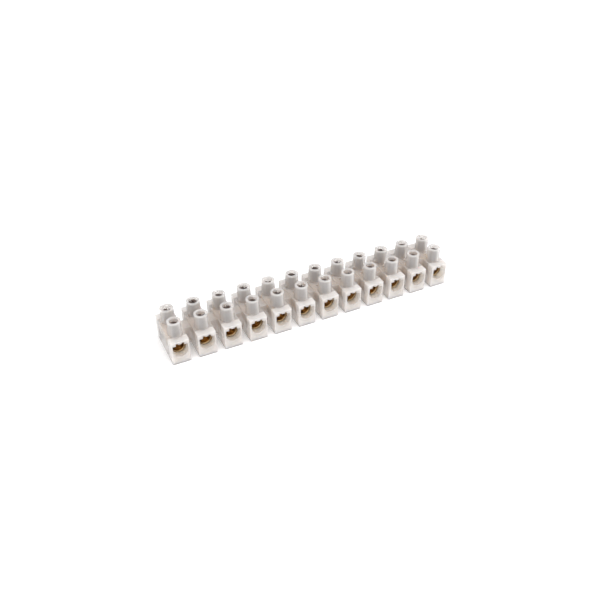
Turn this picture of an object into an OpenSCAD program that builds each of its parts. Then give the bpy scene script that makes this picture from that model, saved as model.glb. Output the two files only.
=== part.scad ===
// Terminal strip: one moulded housing of equal poles, a brass barrel through each pole
// and two clamp screws to a pole, each recessed in a round tower.
// The strip runs along X, wires enter along Y and the screws stand along Z.
// The origin is at the middle of the underside.

/* [Strip] */
// Number of poles along the strip
poles = 12; // [2:1:16]
// Distance from one pole to the next
pitch = 10; // [9:0.1:14]

/* [Pole block] */
// Length of a block, in the direction of the wires
block_len = 19; // [17:0.2:24]
// Plastic under a barrel
base_wall = 2.65; // [2:0.05:4]
// Plastic at each side of a barrel
side_wall = 0.5; // [0.4:0.05:0.9]
// Plastic over a barrel
roof_wall = 1.15; // [0.9:0.05:2]
// Radius of the block's upright corners
block_corner_r = 0.35; // [0.1:0.05:0.8]

/* [Screw towers] */
// Distance from the end of a barrel to the axis of its screw
screw_inset = 2.3; // [2:0.05:2.7]
// Height of a tower above its block
tower_h = 5.7; // [4:0.1:8]
// Wall of a tower at its foot
tower_foot_wall = 1; // [0.6:0.05:1.2]
// Wall of a tower at its rim
tower_rim_wall = 0.85; // [0.4:0.05:1]

/* [Webs] */
// Length of the web between two blocks, in the direction of the wires
web_len = 4.9; // [3:0.1:8]
// Height of a web's underside above the foot of the strip
web_bottom = 2.5; // [0:0.1:4]
// How far a web's top lies below the top of the blocks
web_drop = 0.4; // [0.1:0.1:3]
// Radius of the fillet where a web meets a block
web_fillet_r = 0.6; // [0.2:0.1:1]

/* [Barrel] */
// Bore of a barrel, which takes the wires
barrel_bore_d = 4.1; // [3.2:0.1:5]
// Thickness of the barrel wall under the bore
barrel_floor_wall = 0.65; // [0.5:0.05:0.8]
// Thickness of the barrel wall over the bore, where the screws are tapped in
barrel_crown_wall = 1.05; // [0.8:0.05:1.2]
// Chamfer at both mouths of the bore
barrel_chamfer = 0.25; // [0.1:0.05:0.4]

/* [Wire entry] */
// Depth of the entry, from the face of the block to the barrel
entry_depth = 2.9; // [2:0.1:4]
// How far the sides of the entry stand in front of the barrel
entry_ledge = 0.1; // [0.05:0.05:0.3]
// How far the foot of the entry stands in front of the barrel
entry_sill = 0.3; // [0.1:0.05:0.5]
// Width of each groove that rises beside the middle lug
groove_w = 0.95; // [0.6:0.05:1.1]
// Width of the middle lug
lug_w = 1.2; // [0.8:0.1:1.6]
// Plastic left over the grooves
groove_roof = 0.7; // [0.5:0.05:1]
// How far the lugs hang down in front of the barrel's crown
lug_overlap = 0.45; // [0.2:0.05:0.7]

/* [Screw] */
// Diameter of the screw thread
screw_d = 2.9; // [2.6:0.1:3.2]
// How far the head stands out beyond the thread
head_step = 0.05; // [0:0.05:0.2]
// Length of a screw with its head
screw_len = 6.5; // [6.2:0.1:6.8]
// Height of the head
head_h = 1.2; // [0.9:0.1:1.5]
// Advance of a screw in one turn
thread_pitch = 0.5; // [0.4:0.05:0.6]
// Width of the driver slot
slot_w = 0.6; // [0.4:0.05:0.8]
// Depth of the driver slot
slot_depth = 0.8; // [0.5:0.05:1]

/* [Fits] */
// Radial clearance of a barrel in the housing
barrel_gap = 0.05; // [0.02:0.01:0.1]
// Radial clearance of a screw in its tapped hole
thread_gap = 0.04; // [0.02:0.01:0.08]
// Radial clearance of a screw head in its tower
tower_gap = 0.15; // [0.1:0.01:0.2]
// How far the tip of the deepest screw stays above the bore
tip_gap = 0.04; // [0.02:0.01:0.1]

/* [Hidden] */
// Turns that each screw is backed out, from the pole at -X, with one entry for each pole
FRONT_TURNS = [0.05, 0.15, 0.75, 0.5, 0.65, 0.6, 0.1, 0.2, 0.3, 0.5, 0.25, 0.4];
BACK_TURNS = [0.15, 1.8, 0.5, 1.15, 0.2, 1, 0.85, 0.6, 0.95, 1.05, 0.45, 0.1];

FINE = 96;   // facets of a full circle on the large rounds
ROUND = 64;  // facets of a full circle on the small rounds
OVER = 1;    // how far a cutting shape runs past the face it cuts
SET_IN = 0.2;  // how far a web is set into the blocks
TIP_CHAMFER = 0.35;
HEAD_CHAMFER = 0.15;
CROWN_HOLE_D = 1.4;  // core-pin hole over the barrel, between the towers
CROWN_HOLE_X = -0.9;

// Barrel and its bore
bore_r = barrel_bore_d / 2;
barrel_r = bore_r + (barrel_floor_wall + barrel_crown_wall) / 2;
barrel_len = block_len - 2 * (entry_depth + barrel_gap);
barrel_z = base_wall + barrel_gap + barrel_r;
barrel_top_z = barrel_z + barrel_r;
bore_z = barrel_z - barrel_r + barrel_floor_wall + bore_r;
bore_top_z = bore_z + bore_r;

// Block and webs
block_w = 2 * (barrel_r + barrel_gap + side_wall);
block_h = barrel_top_z + barrel_gap + roof_wall;
web_gap = pitch - block_w;
web_top_z = block_h - web_drop;

// Screws and towers
shank_r = screw_d / 2;
head_r = shank_r + head_step;
screw_y = barrel_len / 2 - screw_inset;
deepest_tip_z = bore_top_z + tip_gap;
tower_bore_r = head_r + tower_gap;
tower_foot_r = tower_bore_r + tower_foot_wall;
tower_rim_r = tower_bore_r + tower_rim_wall;

// Wire entry
entry_r = barrel_r - entry_ledge;
entry_z = barrel_z - barrel_r + entry_sill + entry_r;
lug_z = barrel_top_z - lug_overlap;
groove_top_z = block_h - groove_roof;

function two_digits(i) = str(i < 10 ? "0" : "", i);
function numbered(stem) = [for (i = [1:poles]) str(stem, two_digits(i))];
function pole_x(i) = (i - (poles + 1) / 2) * pitch;
function turns(list, i) = list[(i - 1) % len(list)];

// A cylinder whose axis runs along Y, centred on the origin
module along_y(r, length) {
    rotate([90, 0, 0]) cylinder(r = r, h = length, center = true, $fn = FINE);
}

// A rectangle with round corners, centred on the origin
module rounded_rect(w, l, r) {
    square([w - 2 * r, l], center = true);
    square([w, l - 2 * r], center = true);
    for (sx = [-1, 1], sy = [-1, 1])
        translate([sx * (w / 2 - r), sy * (l / 2 - r)]) circle(r = r, $fn = ROUND);
}

// One block with its two towers, before any bore is cut
module pole_block() {
    linear_extrude(block_h) rounded_rect(block_w, block_len, block_corner_r);
    for (side = [-1, 1])
        translate([0, side * screw_y, block_h])
            cylinder(r1 = tower_foot_r, r2 = tower_rim_r, h = tower_h, $fn = FINE);
}

// The web between two blocks, filleted into both of them
module web() {
    r = web_fillet_r;
    translate([0, 0, web_bottom]) linear_extrude(web_top_z - web_bottom) {
        square([web_gap + SET_IN, web_len], center = true);
        for (sx = [-1, 1], sy = [-1, 1]) scale([sx, sy])
            translate([web_gap / 2 - r, web_len / 2]) difference() {
                translate([0, -SET_IN]) square([r + SET_IN, r + SET_IN]);
                translate([0, r]) circle(r = r, $fn = ROUND);
            }
    }
}

// The outline of a wire entry: round below, flat above, with two grooves beside a middle lug
module entry_outline() {
    translate([0, entry_z]) circle(r = entry_r, $fn = FINE);
    translate([-entry_r, entry_z]) square([2 * entry_r, lug_z - entry_z]);
    for (side = [-1, 1])
        translate([side * (lug_w + groove_w) / 2 - groove_w / 2, entry_z])
            square([groove_w, groove_top_z - entry_z]);
}

// Everything that is hollow in one pole
module pole_hollows() {
    translate([0, 0, barrel_z]) along_y(barrel_r + barrel_gap, barrel_len + 2 * barrel_gap);
    for (side = [-1, 1]) {
        translate([0, side * (block_len / 2 + OVER - (entry_depth + 2 * OVER) / 2), 0])
            rotate([90, 0, 0])
                linear_extrude(entry_depth + 2 * OVER, center = true) entry_outline();
        translate([0, side * screw_y, barrel_z])
            cylinder(r = tower_bore_r, h = block_h + tower_h, $fn = ROUND);
    }
    translate([CROWN_HOLE_X, 0, barrel_z]) cylinder(d = CROWN_HOLE_D, h = block_h, $fn = ROUND);
}

module housing() {
    color([0.87, 0.85, 0.82]) difference() {
        union() {
            for (i = [1:poles]) translate([pole_x(i), 0, 0]) pole_block();
            for (i = [1:poles - 1]) translate([pole_x(i) + pitch / 2, 0, 0]) web();
        }
        for (i = [1:poles]) translate([pole_x(i), 0, 0]) pole_hollows();
    }
}

// A brass tube, thicker over the bore than under it, with two tapped holes from above
module barrel(i) {
    color([0.71, 0.55, 0.26]) translate([pole_x(i), 0, 0]) difference() {
        translate([0, 0, barrel_z]) along_y(barrel_r, barrel_len);
        translate([0, 0, bore_z]) {
            along_y(bore_r, barrel_len + OVER);
            for (side = [-1, 1])
                translate([0, side * barrel_len / 2, 0]) rotate([-side * 90, 0, 0])
                    translate([0, 0, -barrel_chamfer])
                        cylinder(r1 = bore_r, r2 = bore_r + 2 * barrel_chamfer,
                                 h = 2 * barrel_chamfer, $fn = FINE);
        }
        for (side = [-1, 1])
            translate([0, side * screw_y, bore_z])
                cylinder(r = shank_r + thread_gap, h = block_h, $fn = ROUND);
    }
}

// A slotted clamp screw standing on its tip, turned out from its deepest place
module screw(i, side, turns_out) {
    shank_top = screw_len - head_h;
    color([0.74, 0.74, 0.73])
        translate([pole_x(i), side * screw_y, deepest_tip_z + turns_out * thread_pitch])
            rotate([0, 0, 360 * turns_out]) difference() {
                rotate_extrude($fn = ROUND) polygon([
                    [0, 0], [shank_r - TIP_CHAMFER, 0], [shank_r, TIP_CHAMFER],
                    [shank_r, shank_top], [head_r, shank_top], [head_r, screw_len - HEAD_CHAMFER],
                    [head_r - HEAD_CHAMFER, screw_len], [0, screw_len]
                ]);
                translate([-2 * head_r, -slot_w / 2, screw_len - slot_depth])
                    cube([4 * head_r, slot_w, slot_depth + OVER]);
            }
}

housing();
for (i = [1:poles]) {
    barrel(i);
    screw(i, -1, turns(FRONT_TURNS, i));
    screw(i, 1, turns(BACK_TURNS, i));
}
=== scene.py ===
import math

import bmesh
import bpy
from mathutils import Matrix, Vector


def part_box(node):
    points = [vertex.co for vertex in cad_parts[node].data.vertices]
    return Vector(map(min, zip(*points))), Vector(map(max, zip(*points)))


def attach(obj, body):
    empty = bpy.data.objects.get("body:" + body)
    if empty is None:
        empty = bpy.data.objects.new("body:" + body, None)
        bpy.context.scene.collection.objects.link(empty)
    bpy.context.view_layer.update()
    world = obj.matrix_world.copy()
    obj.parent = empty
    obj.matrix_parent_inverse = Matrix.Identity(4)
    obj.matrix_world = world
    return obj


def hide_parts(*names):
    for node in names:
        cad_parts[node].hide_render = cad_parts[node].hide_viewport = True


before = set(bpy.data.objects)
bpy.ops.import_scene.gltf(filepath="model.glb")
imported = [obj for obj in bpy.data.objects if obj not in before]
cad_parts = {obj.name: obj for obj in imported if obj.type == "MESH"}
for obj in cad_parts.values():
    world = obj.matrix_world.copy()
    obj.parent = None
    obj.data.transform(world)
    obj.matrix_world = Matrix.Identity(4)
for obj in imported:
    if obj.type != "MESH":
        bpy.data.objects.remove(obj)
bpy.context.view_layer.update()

MM = 0.001
POLES = 12

# ---------------------------------------------------------------- sizes, in metres
# Places on the strip, as in the CAD model
PITCH = 10.0 * MM
BLOCK_TOP_Z = 9.7 * MM
RIM_Z = 15.4 * MM
SCREW_Y = 4.25 * MM
ENTRY_Z = 5.8 * MM   # axis of a wire entry
BARREL_Z = 5.6 * MM  # axis of a barrel
BORE_Z = 5.4 * MM    # axis of a barrel's bore

# A clamp screw, as in the CAD model
THREAD_R = 1.45 * MM
HEAD_R = 1.5 * MM
HEAD_H = 1.2 * MM
SCREW_LEN = 6.5 * MM
SHANK_LEN = SCREW_LEN - HEAD_H
TIP_CHAMFER = 0.35 * MM
SLOT_W = 0.6 * MM
SLOT_DEPTH = 0.8 * MM
THREAD_PITCH = 0.5 * MM
DEEPEST_TIP_Z = 7.49 * MM  # height of the tip of a screw that isn't backed out at all

# What the screws have beyond the CAD model
ROOT_R = 1.22 * MM
CREST_END = 0.14    # share of a pitch at which the flat crest ends
ROOT_START = 0.5    # share at which the flat root starts
ROOT_END = 0.62     # share at which the flat root ends
RUN_OUT = 0.3 * MM  # length under the head over which the thread fades away
RUN_OUT_SLOPE = 0.9
HEAD_CHAMFER = 0.16 * MM
HEAD_ROUNDING_IN = 0.05 * MM
HEAD_ROUNDING_DOWN = 0.06 * MM
SLOT_FLARE = 0.07 * MM  # chamfer along the edges of the slot
AROUND = 36             # corners round a ring of the screw's mesh
RINGS_PER_PITCH = 8

# Bevels on the CAD nodes
HOUSING_BEVEL = 0.12 * MM
BARREL_BEVEL = 0.06 * MM
BEVEL_SEGMENTS = 2
BEVEL_ANGLE = 40  # degrees; only sharper edges are bevelled

# ---------------------------------------------------------------- colours, as sRGB of 0 to 255
WHITE = (255, 255, 255)
FLOOR_WHITE = (250, 250, 250)
PLASTIC_CLOUDS = (236, 227, 221), (227, 217, 210)
# Painted shade: a darker tone on the face and recess wall round the opening of each wire entry
PAINTED_SHADE_AT_MOUTH = (208, 200, 193)
# Painted light: a lighter, warmer tone on the recess wall of each wire entry, standing for light
# thrown back off the brass
PAINTED_BRASS_GLOW_IN_ENTRY = (246, 232, 218)
BRASS_OUTSIDE = (226, 190, 128), (196, 160, 106)
BRASS_BORE = (232, 198, 134), (160, 126, 78)
BRASS_END = (165, 142, 112), (138, 116, 88)
STEEL_CLOUDS = (118, 105, 100), (80, 70, 66)

# ---------------------------------------------------------------- surfaces
# Noises: scale, detail and roughness
PLASTIC_CLOUD = 140, 4, 0.55
PLASTIC_GRAIN = 2600, 2, 0.6
PLASTIC_WAVE = 220, 2, 0.5
BRASS_TARNISH = 420, 5, 0.6
BRASS_PATCHES = 800, 3, 0.5
BRASS_TURNING = 900, 3, 0.5
STEEL_CLOUD = 700, 4, 0.6
STEEL_GRAIN = 2400, 2, 0.5

# Relief made from a noise: strength and depth
PLASTIC_GRAIN_RELIEF = 0.2, 0.02 * MM
PLASTIC_WAVE_RELIEF = 0.25, 0.1 * MM
BRASS_RELIEF = 0.2, 0.03 * MM
STEEL_RELIEF = 0.15, 0.02 * MM

# Spans of a noise over which one colour goes over into the other, or gloss changes
CLOUD_SPAN = 0.35, 0.65
TARNISH_SPAN = 0.42, 0.68
PATCH_SPAN = 0.42, 0.58
GLOSS_SPAN = 0.3, 0.7

# Roughness at the start and the end of that last span
PLASTIC_ROUGHNESS = 0.22, 0.3
BRASS_ROUGHNESS = 0.22, 0.4
STEEL_ROUGHNESS = 0.25, 0.45

# How the plastic scatters light, and the tint of what goes straight through
SCATTER_RADIUS = (1.0, 0.92, 0.84)
SCATTER_SCALE = 5.0 * MM
PLASTIC_IOR = 1.45
THROUGH_TINT = (0.98, 0.968, 0.956, 1)

# Share of light that goes straight through the plastic's surface, by place
THROUGH_FACE = 0.1             # the ends of a block, in front of the barrel
THROUGH_OVER_BARREL = 0.43     # nearest to the barrel
THROUGH_BLOCK = 0.47           # the rest of a block, and the webs
THROUGH_TOWER = 0.53, 0.14     # the outside of a tower: its middle and its outline
THROUGH_TOWER_BORE = 0.74
RIM_SHARE = 0.58               # what is left of the share at a tower's rim
FACING_SPAN = 0.2, 0.5         # from a tower's middle to its outline, as Layer Weight gives it

# Spans over which the plastic's look changes. FROM_ gives distances from the axis of the nearest
# entry, barrel or screw, and ALONG_ gives distances from the strip's middle, along the wires.
# FROM_ENTRY_ON_FACE, FROM_ENTRY_AT_WALL, ALONG_TO_FACE, ALONG_TO_ENTRY and ALONG_ENTRY place the
# painted shade round each entry's opening and the painted brass glow in its recess.
FROM_ENTRY_ON_FACE = 2.9 * MM, 4.4 * MM
FROM_ENTRY_AT_WALL = 2.85 * MM, 3.0 * MM
FROM_BARREL_IN_BLOCK = 3.3 * MM, 4.6 * MM
FROM_SCREW_IN_WALL = 1.7 * MM, 1.9 * MM
ALONG_TO_FACE = 8.3 * MM, 9.2 * MM
ALONG_TO_ENTRY = 6.4 * MM, 6.6 * MM
ALONG_ENTRY = 7.0 * MM, 9.2 * MM
ALONG_PAST_BARREL = 6.1 * MM, 6.6 * MM
FOOT_HEIGHTS = BLOCK_TOP_Z - 0.3 * MM, BLOCK_TOP_Z + 0.6 * MM  # the foot of a tower
RIM_HEIGHTS = RIM_Z - 0.7 * MM, RIM_Z - 0.05 * MM              # the rim of a tower

# Spans over which the brass changes, from its bore to its end and from its end to its outside
FROM_BORE_TO_END = 2.06 * MM, 2.12 * MM
FROM_BARREL_TO_SKIN = 2.8 * MM, 2.88 * MM

# ---------------------------------------------------------------- studio
# Camera, fitted to the photo
CAMERA_PLACE = (-0.09858, -0.19713, 0.16589)
CAMERA_FORWARD = (0.3499, 0.7257, -0.5924)
CAMERA_RIGHT = (0.89964, -0.43661, -0.00345)
SENSOR_MM = 36
LENS_MM = 41.75
CLIP_RANGE = 0.01, 50

FLOOR_SIZE = 1.6
FLOOR_ROUGHNESS = 0.9
FLOOR_GLOW = 0.2
SKY_COLOUR = (0.97, 0.98, 1.0, 1)
SKY_STRENGTH = 0.75

# Lamps that face the strip: name, place, width of the disc and power in watts
LAMPS = (
    ("key", (0.45, -0.85, 0.8), 1.8, 5.1),
    ("top", (0.4, 0.0, 1.1), 1.2, 4.3),
    ("fill", (-0.9, -0.5, 0.6), 1.4, 3.0),
)


def linear(rgb):
    """An sRGB colour of 0 to 255 as linear RGBA."""
    def one(value):
        value /= 255
        return value / 12.92 if value <= 0.04045 else ((value + 0.055) / 1.055) ** 2.4
    return (*map(one, rgb), 1.0)


# ---------------------------------------------------------------- camera
def make_camera():
    """A camera at the photo's place."""
    data = bpy.data.cameras.new("camera")
    camera = bpy.data.objects.new("camera", data)
    bpy.context.scene.collection.objects.link(camera)
    forward = Vector(CAMERA_FORWARD).normalized()
    right = Vector(CAMERA_RIGHT)
    right = (right - forward * right.dot(forward)).normalized()
    up = right.cross(forward)
    turn = Matrix((right, up, -forward)).transposed().to_4x4()
    camera.matrix_world = Matrix.Translation(CAMERA_PLACE) @ turn
    data.sensor_width = SENSOR_MM
    data.lens = LENS_MM
    data.clip_start, data.clip_end = CLIP_RANGE
    bpy.context.scene.camera = camera


# ---------------------------------------------------------------- node helpers
class Nodes:
    """A small wrapper that builds a material's node tree."""

    def __init__(self, name):
        self.material = bpy.data.materials.new(name)
        self.material.use_nodes = True
        self.tree = self.material.node_tree
        self.shader = self.tree.nodes["Principled BSDF"]
        self.output = self.tree.nodes["Material Output"]

    def put(self, socket, value):
        """Link a socket to a value that is a socket, or else set it to the value."""
        if isinstance(value, bpy.types.NodeSocket):
            self.tree.links.new(value, socket)
        else:
            socket.default_value = value

    def add(self, kind, **inputs):
        """A new node with its inputs."""
        node = self.tree.nodes.new(kind)
        for key, value in inputs.items():
            self.put(node.inputs[key.replace("_", " ")], value)
        return node

    def set(self, **inputs):
        """Inputs of the material's Principled shader."""
        for key, value in inputs.items():
            self.put(self.shader.inputs[key.replace("_", " ")], value)

    def coords(self):
        return self.add("ShaderNodeTexCoord").outputs["Object"]

    def place(self):
        """The three coordinates of a point on the strip."""
        return self.add("ShaderNodeSeparateXYZ", Vector=self.coords()).outputs

    def noise(self, kind):
        scale, detail, roughness = kind
        node = self.add("ShaderNodeTexNoise", Scale=scale, Detail=detail, Roughness=roughness,
                        Vector=self.coords())
        return node.outputs["Fac"]

    def ramp(self, value, span, results=(0.0, 1.0)):
        """Goes from the first result to the second while the value crosses the span."""
        node = self.add("ShaderNodeMapRange", Value=value, From_Min=span[0], From_Max=span[1],
                        To_Min=results[0], To_Max=results[1])
        return node.outputs["Result"]

    def math(self, operation, *values):
        node = self.tree.nodes.new("ShaderNodeMath")
        node.operation = operation
        for socket, value in zip(node.inputs, values):
            self.put(socket, value)
        return node.outputs[0]

    def length(self, a, b):
        squares = self.math("MULTIPLY", a, a), self.math("MULTIPLY", b, b)
        return self.math("SQRT", self.math("ADD", *squares))

    def across(self, x):
        """Distance along X from the middle of the nearest pole."""
        return self.math("SUBTRACT", self.math("WRAP", x, PITCH, 0.0), PITCH / 2)

    def from_axis(self, axis_z):
        """Distance from the nearest axis that runs along Y at the height axis_z."""
        place = self.place()
        return self.length(self.across(place["X"]), self.math("SUBTRACT", place["Z"], axis_z))

    def mix(self, factor, a, b):
        """A colour between two, each of them a socket or an sRGB colour."""
        node = self.tree.nodes.new("ShaderNodeMix")
        node.data_type = "RGBA"
        self.put(node.inputs[0], factor)
        for socket, colour in ((node.inputs[6], a), (node.inputs[7], b)):
            self.put(socket, linear(colour) if isinstance(colour, tuple) else colour)
        return node.outputs[2]

    def bump(self, height, relief, **normal):
        strength, depth = relief
        node = self.add("ShaderNodeBump", Strength=strength, Distance=depth, Height=height, **normal)
        return node.outputs["Normal"]

    def join(self, kind, first, second, **factor):
        """Two shaders added or mixed."""
        node = self.add(kind, **factor)
        self.tree.links.new(first.outputs[0], node.inputs[-2])
        self.tree.links.new(second.outputs[0], node.inputs[-1])
        return node


# ---------------------------------------------------------------- materials
def plastic_clouds_and_painted_light(n, cloud, along):
    """Cloudy white, with painted shade round the opening of a wire entry and a painted warm glow, as
    of light off the brass, within its recess.
    """
    colour = n.mix(n.ramp(cloud, CLOUD_SPAN), *PLASTIC_CLOUDS)
    from_entry = n.from_axis(ENTRY_Z)
    # Painted shade round the opening of the wire entry, on the face and the wall of its recess
    mouth_shade = n.math("MULTIPLY", n.ramp(from_entry, FROM_ENTRY_ON_FACE, (1.0, 0.0)),
                   n.ramp(along, ALONG_TO_FACE))
    # Painted brass glow on the wall of the entry's recess
    entry_glow = n.math("MULTIPLY", n.ramp(from_entry, FROM_ENTRY_AT_WALL, (1.0, 0.0)),
                    n.math("MULTIPLY", n.ramp(along, ALONG_TO_ENTRY),
                           n.ramp(along, ALONG_ENTRY, (1.0, 0.0))))
    return n.mix(entry_glow, n.mix(mouth_shade, colour, PAINTED_SHADE_AT_MOUTH), PAINTED_BRASS_GLOW_IN_ENTRY)


def plastic_share_through(n, place, along):
    """The share of light that goes straight through the plastic's surface."""
    near = n.ramp(along, ALONG_PAST_BARREL, (THROUGH_OVER_BARREL, THROUGH_FACE))
    far = n.ramp(along, ALONG_PAST_BARREL, (THROUGH_BLOCK, THROUGH_FACE))
    block = n.ramp(n.from_axis(BARREL_Z), FROM_BARREL_IN_BLOCK, (near, far))
    facing = n.add("ShaderNodeLayerWeight", Blend=0.5).outputs["Facing"]
    skin = n.ramp(facing, FACING_SPAN, THROUGH_TOWER)
    from_screw = n.length(n.across(place["X"]), n.math("SUBTRACT", along, SCREW_Y))
    wall = n.ramp(from_screw, FROM_SCREW_IN_WALL, (THROUGH_TOWER_BORE, skin))
    tower = n.math("MULTIPLY", wall, n.ramp(place["Z"], FOOT_HEIGHTS))
    rim = n.ramp(place["Z"], RIM_HEIGHTS, (1.0, RIM_SHARE))
    return n.math("MULTIPLY", n.math("MAXIMUM", block, tower), rim)


def plastic_material():
    """Milky plastic: light scattered under the surface, mixed with light that goes through."""
    n = Nodes("milky_plastic")
    place = n.place()
    along = n.math("ABSOLUTE", place["Y"])
    cloud = n.noise(PLASTIC_CLOUD)
    grain = n.bump(n.noise(PLASTIC_GRAIN), PLASTIC_GRAIN_RELIEF)
    n.set(Base_Color=plastic_clouds_and_painted_light(n, cloud, along),
          Roughness=n.ramp(cloud, GLOSS_SPAN, PLASTIC_ROUGHNESS),
          Normal=n.bump(n.noise(PLASTIC_WAVE), PLASTIC_WAVE_RELIEF, Normal=grain),
          Subsurface_Weight=1.0, Subsurface_Radius=SCATTER_RADIUS,
          Subsurface_Scale=SCATTER_SCALE, IOR=PLASTIC_IOR)
    through = n.add("ShaderNodeBsdfTransparent", Color=THROUGH_TINT)
    mixed = n.join("ShaderNodeMixShader", n.shader, through,
                   Fac=plastic_share_through(n, place, along))
    n.put(n.output.inputs["Surface"], mixed.outputs[0])
    return n.material


def brass_material():
    """Brass, pale outside, duller on the turned ends and patchy in the bore."""
    n = Nodes("brass")
    tarnish = n.noise(BRASS_TARNISH)
    outside = n.mix(n.ramp(tarnish, TARNISH_SPAN), *BRASS_OUTSIDE)
    bore = n.mix(n.ramp(n.noise(BRASS_PATCHES), PATCH_SPAN), *BRASS_BORE)
    end = n.mix(n.ramp(tarnish, TARNISH_SPAN), *BRASS_END)
    colour = n.mix(n.ramp(n.from_axis(BORE_Z), FROM_BORE_TO_END), bore, end)
    colour = n.mix(n.ramp(n.from_axis(BARREL_Z), FROM_BARREL_TO_SKIN), colour, outside)
    n.set(Base_Color=colour, Metallic=1.0,
          Roughness=n.ramp(tarnish, GLOSS_SPAN, BRASS_ROUGHNESS),
          Normal=n.bump(n.noise(BRASS_TURNING), BRASS_RELIEF))
    return n.material


def steel_material():
    """Zinc-plated steel that has gone dull."""
    n = Nodes("zinc_steel")
    cloud = n.noise(STEEL_CLOUD)
    n.set(Base_Color=n.mix(n.ramp(cloud, CLOUD_SPAN), *STEEL_CLOUDS), Metallic=1.0,
          Roughness=n.ramp(cloud, GLOSS_SPAN, STEEL_ROUGHNESS),
          Normal=n.bump(n.noise(STEEL_GRAIN), STEEL_RELIEF))
    return n.material


# ---------------------------------------------------------------- screws
def thread_radius(phase):
    """Radius of the thread at a phase of 0 to 1 along its pitch, from crest to root and back."""
    if phase < CREST_END:
        return THREAD_R
    if phase < ROOT_START:
        return THREAD_R + (ROOT_R - THREAD_R) * (phase - CREST_END) / (ROOT_START - CREST_END)
    if phase < ROOT_END:
        return ROOT_R
    return ROOT_R + (THREAD_R - ROOT_R) * (phase - ROOT_END) / (1 - ROOT_END)


def shank_radius(z, turned):
    """Radius of the shank at a height and at a share of a turn round it."""
    r = thread_radius((z / THREAD_PITCH - turned) % 1)
    if z < TIP_CHAMFER:
        r = min(r, THREAD_R - TIP_CHAMFER + z)
    if z > SHANK_LEN - RUN_OUT:
        r = max(ROOT_R, r - (z - SHANK_LEN + RUN_OUT) * RUN_OUT_SLOPE)
    return r


def ring(z, radii):
    """The corners of a ring at a height, one for each radius."""
    angles = [2 * math.pi * j / AROUND for j in range(AROUND)]
    return [(r * math.cos(angle), r * math.sin(angle), z) for r, angle in zip(radii, angles)]


def closed_object(name, rings):
    """An object whose skin joins the rings in order, with a face over each end."""
    bm = bmesh.new()
    rows = [[bm.verts.new(point) for point in points] for points in rings]
    for low, high in zip(rows, rows[1:]):
        for j in range(len(low)):
            k = (j + 1) % len(low)
            bm.faces.new((low[j], low[k], high[k], high[j]))
    bm.faces.new(list(reversed(rows[0])))
    bm.faces.new(rows[-1])
    bmesh.ops.recalc_face_normals(bm, faces=bm.faces)
    mesh = bpy.data.meshes.new(name)
    bm.to_mesh(mesh)
    bm.free()
    made = bpy.data.objects.new(name, mesh)
    bpy.context.scene.collection.objects.link(made)
    return made


def screw_body():
    """A clamp screw without its slot, on its tip at the origin, with a real helical thread."""
    rows = int(round(SHANK_LEN / (THREAD_PITCH / RINGS_PER_PITCH)))
    heights = [SHANK_LEN * k / rows for k in range(rows + 1)]
    rings = [ring(z, [shank_radius(z, j / AROUND) for j in range(AROUND)]) for z in heights]
    head = (
        (HEAD_R - HEAD_ROUNDING_DOWN, SHANK_LEN),
        (HEAD_R, SHANK_LEN + HEAD_ROUNDING_DOWN),
        (HEAD_R, SCREW_LEN - HEAD_CHAMFER),
        (HEAD_R - HEAD_ROUNDING_IN, SCREW_LEN - HEAD_ROUNDING_DOWN),
        (HEAD_R - HEAD_CHAMFER, SCREW_LEN),
    )
    rings += [ring(z, [r] * AROUND) for r, z in head]
    return closed_object("screw_body", rings)


def slot_cutter():
    """The shape that cuts the driver slot and the chamfer along its edges."""
    half, wide = SLOT_W / 2, SLOT_W / 2 + 2 * SLOT_FLARE
    floor, flare, over = SCREW_LEN - SLOT_DEPTH, SCREW_LEN - SLOT_FLARE, SCREW_LEN + SLOT_FLARE
    profile = ((-half, floor), (half, floor), (half, flare),
               (wide, over), (-wide, over), (-half, flare))
    ends = [[(x, y, z) for y, z in profile] for x in (-2 * HEAD_R, 2 * HEAD_R)]
    return closed_object("slot_cutter", ends)


def screw_mesh():
    """The mesh that all clamp screws share."""
    body, cutter = screw_body(), slot_cutter()
    cut = body.modifiers.new("slot", "BOOLEAN")
    cut.operation, cut.object, cut.solver = "DIFFERENCE", cutter, "EXACT"
    finished = body.evaluated_get(bpy.context.evaluated_depsgraph_get())
    mesh = bpy.data.meshes.new_from_object(finished)
    for o in (body, cutter):
        bpy.data.objects.remove(o)
    mesh.name = "clamp_screw"
    return mesh


def place_screws(material):
    """A screw in the place of each CAD screw, with its slot turned as its depth asks."""
    mesh = screw_mesh()
    mesh.materials.clear()
    mesh.materials.append(material)
    for side in ("front", "back"):
        for i in range(1, POLES + 1):
            node = f"screw_{side}_{i:02d}"
            low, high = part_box(node)
            middle = (low + high) / 2
            turns = (low.z - DEEPEST_TIP_Z) / THREAD_PITCH
            screw = bpy.data.objects.new(f"clamp_screw_{side}_{i:02d}", mesh)
            bpy.context.scene.collection.objects.link(screw)
            screw.matrix_world = (Matrix.Translation((middle.x, middle.y, low.z))
                                  @ Matrix.Rotation(2 * math.pi * turns, 4, "Z"))
            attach(screw, f"{side}_screw_{i:02d}")
            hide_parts(node)


def finish_node(name, material, width):
    """Give a CAD node its material, and a small bevel along its edges."""
    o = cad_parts[name]
    o.data.materials.clear()
    o.data.materials.append(material)
    bevel = o.modifiers.new("edge", "BEVEL")
    bevel.width, bevel.segments, bevel.limit_method = width, BEVEL_SEGMENTS, "ANGLE"
    bevel.angle_limit = math.radians(BEVEL_ANGLE)
    bevel.use_clamp_overlap = True
    bevel.harden_normals = False


# ---------------------------------------------------------------- stage
def seen_directly(tree):
    """1 for a ray from the camera or one mirrored or bent on its way from it, else 0."""
    path = tree.nodes.new("ShaderNodeLightPath")
    answer = path.outputs["Is Camera Ray"]
    for kind in ("Is Glossy Ray", "Is Transmission Ray"):
        either = tree.nodes.new("ShaderNodeMath")
        either.operation = "MAXIMUM"
        tree.links.new(answer, either.inputs[0])
        tree.links.new(path.outputs[kind], either.inputs[1])
        answer = either.outputs[0]
    return answer


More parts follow.
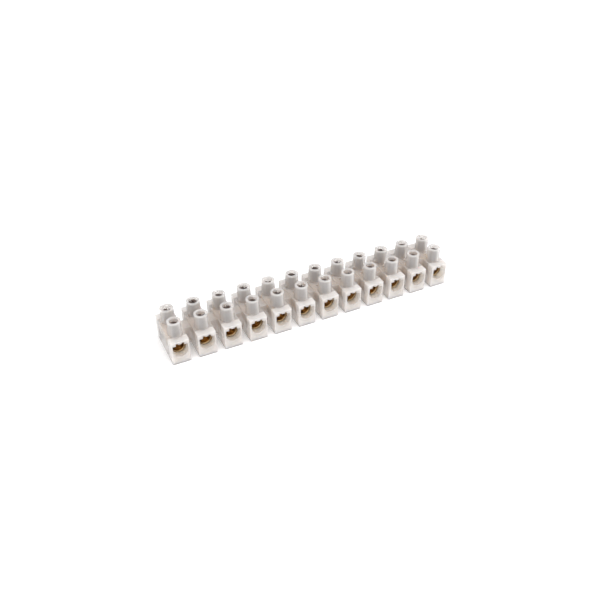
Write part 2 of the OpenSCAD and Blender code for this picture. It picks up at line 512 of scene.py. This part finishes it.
def make_floor():
    """A pale floor that glows a little where it is seen directly, so that it shows as white."""
    bpy.ops.mesh.primitive_plane_add(size=FLOOR_SIZE, location=(0, 0, 0))
    floor = bpy.context.object
    floor.name = "floor"
    n = Nodes("floor_white")
    n.set(Base_Color=linear(FLOOR_WHITE), Roughness=FLOOR_ROUGHNESS, Specular_IOR_Level=0.0)
    glow = n.add("ShaderNodeEmission", Color=linear(WHITE), Strength=FLOOR_GLOW)
    glowing = n.join("ShaderNodeAddShader", n.shader, glow)
    mixed = n.join("ShaderNodeMixShader", n.shader, glowing, Fac=seen_directly(n.tree))
    n.put(n.output.inputs["Surface"], mixed.outputs[0])
    floor.data.materials.append(n.material)


def make_sky():
    """An even sky that lights the strip and shows as white where it is seen directly."""
    world = bpy.data.worlds.new("studio")
    bpy.context.scene.world = world
    world.use_nodes = True
    tree = world.node_tree
    tree.nodes.clear()
    choose = tree.nodes.new("ShaderNodeMixShader")
    tree.links.new(seen_directly(tree), choose.inputs[0])
    for socket, colour, strength in ((choose.inputs[1], SKY_COLOUR, SKY_STRENGTH),
                                     (choose.inputs[2], linear(WHITE), 1.0)):
        sky = tree.nodes.new("ShaderNodeBackground")
        sky.inputs["Color"].default_value = colour
        sky.inputs["Strength"].default_value = strength
        tree.links.new(sky.outputs[0], socket)
    surface = tree.nodes.new("ShaderNodeOutputWorld").inputs["Surface"]
    tree.links.new(choose.outputs[0], surface)


def add_lamp(name, place, width, watts):
    """A disc lamp that faces the strip."""
    data = bpy.data.lights.new(name, "AREA")
    data.shape, data.size, data.energy = "DISK", width, watts
    lamp = bpy.data.objects.new(name, data)
    bpy.context.scene.collection.objects.link(lamp)
    lamp.location = place
    lamp.rotation_mode = "QUATERNION"
    lamp.rotation_quaternion = (-Vector(place)).to_track_quat("-Z", "Y")


make_camera()
make_floor()
make_sky()
for name, place, width, watts in LAMPS:
    add_lamp(name, place, width, watts)

finish_node("housing", plastic_material(), HOUSING_BEVEL)
brass = brass_material()
for number in range(1, POLES + 1):
    finish_node(f"barrel_{number:02d}", brass, BARREL_BEVEL)
place_screws(steel_material())

bpy.context.scene.view_settings.view_transform = "Standard"
